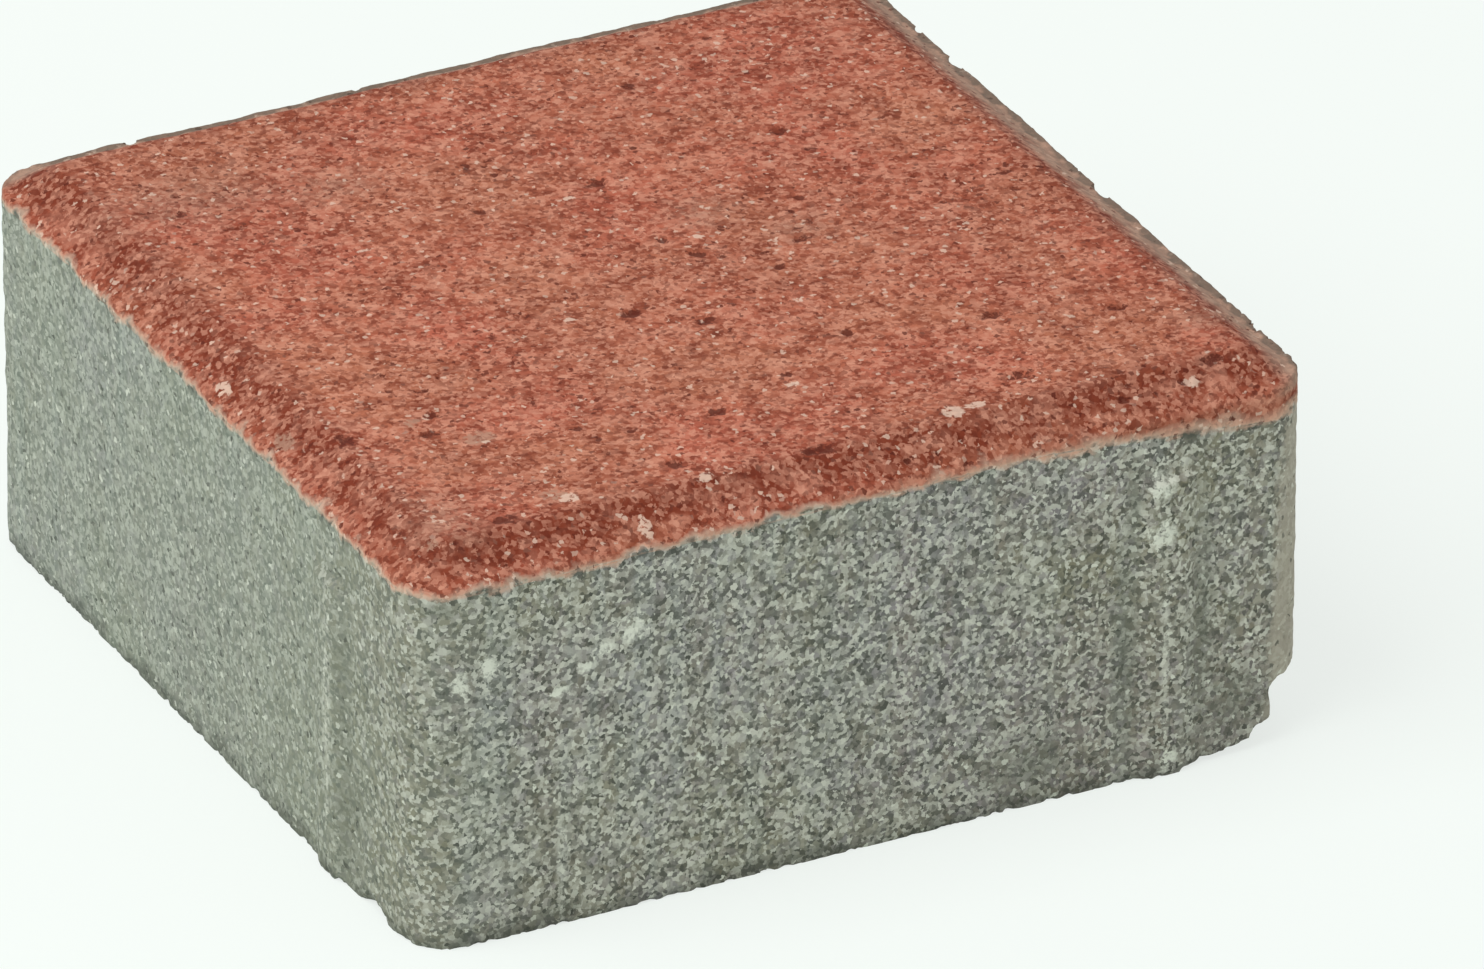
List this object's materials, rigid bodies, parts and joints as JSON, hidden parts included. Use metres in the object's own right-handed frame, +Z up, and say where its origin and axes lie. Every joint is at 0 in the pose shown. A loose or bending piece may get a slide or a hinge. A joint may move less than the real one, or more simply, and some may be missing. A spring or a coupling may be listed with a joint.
{
  "type": "concrete paving stone",
  "caption": "Square block paver of grey core concrete with a chamfered red facing layer worn into small hollows, upright spacer ribs on its sides and one bottom corner broken off.",
  "frame": {"origin": "centre of the underside, on the surface that the stone lies on", "axes": "+Z up, out of the red wearing face; -Y out of the near wall, whose bottom corner towards +X is broken off; +X out of the wall on the right of it"},
  "size_m": [0.1406, 0.1406, 0.06],
  "materials": {
    "core_concrete": "rough pressed grey concrete, open fine pores and sand grains",
    "facing_concrete": "rough pressed concrete coloured right through with red iron oxide, worn so that sand and grit show"
  },
  "bodies": {
    "root": {"core": "core_concrete", "facing": "facing_concrete"}
  },
  "joints": []
}
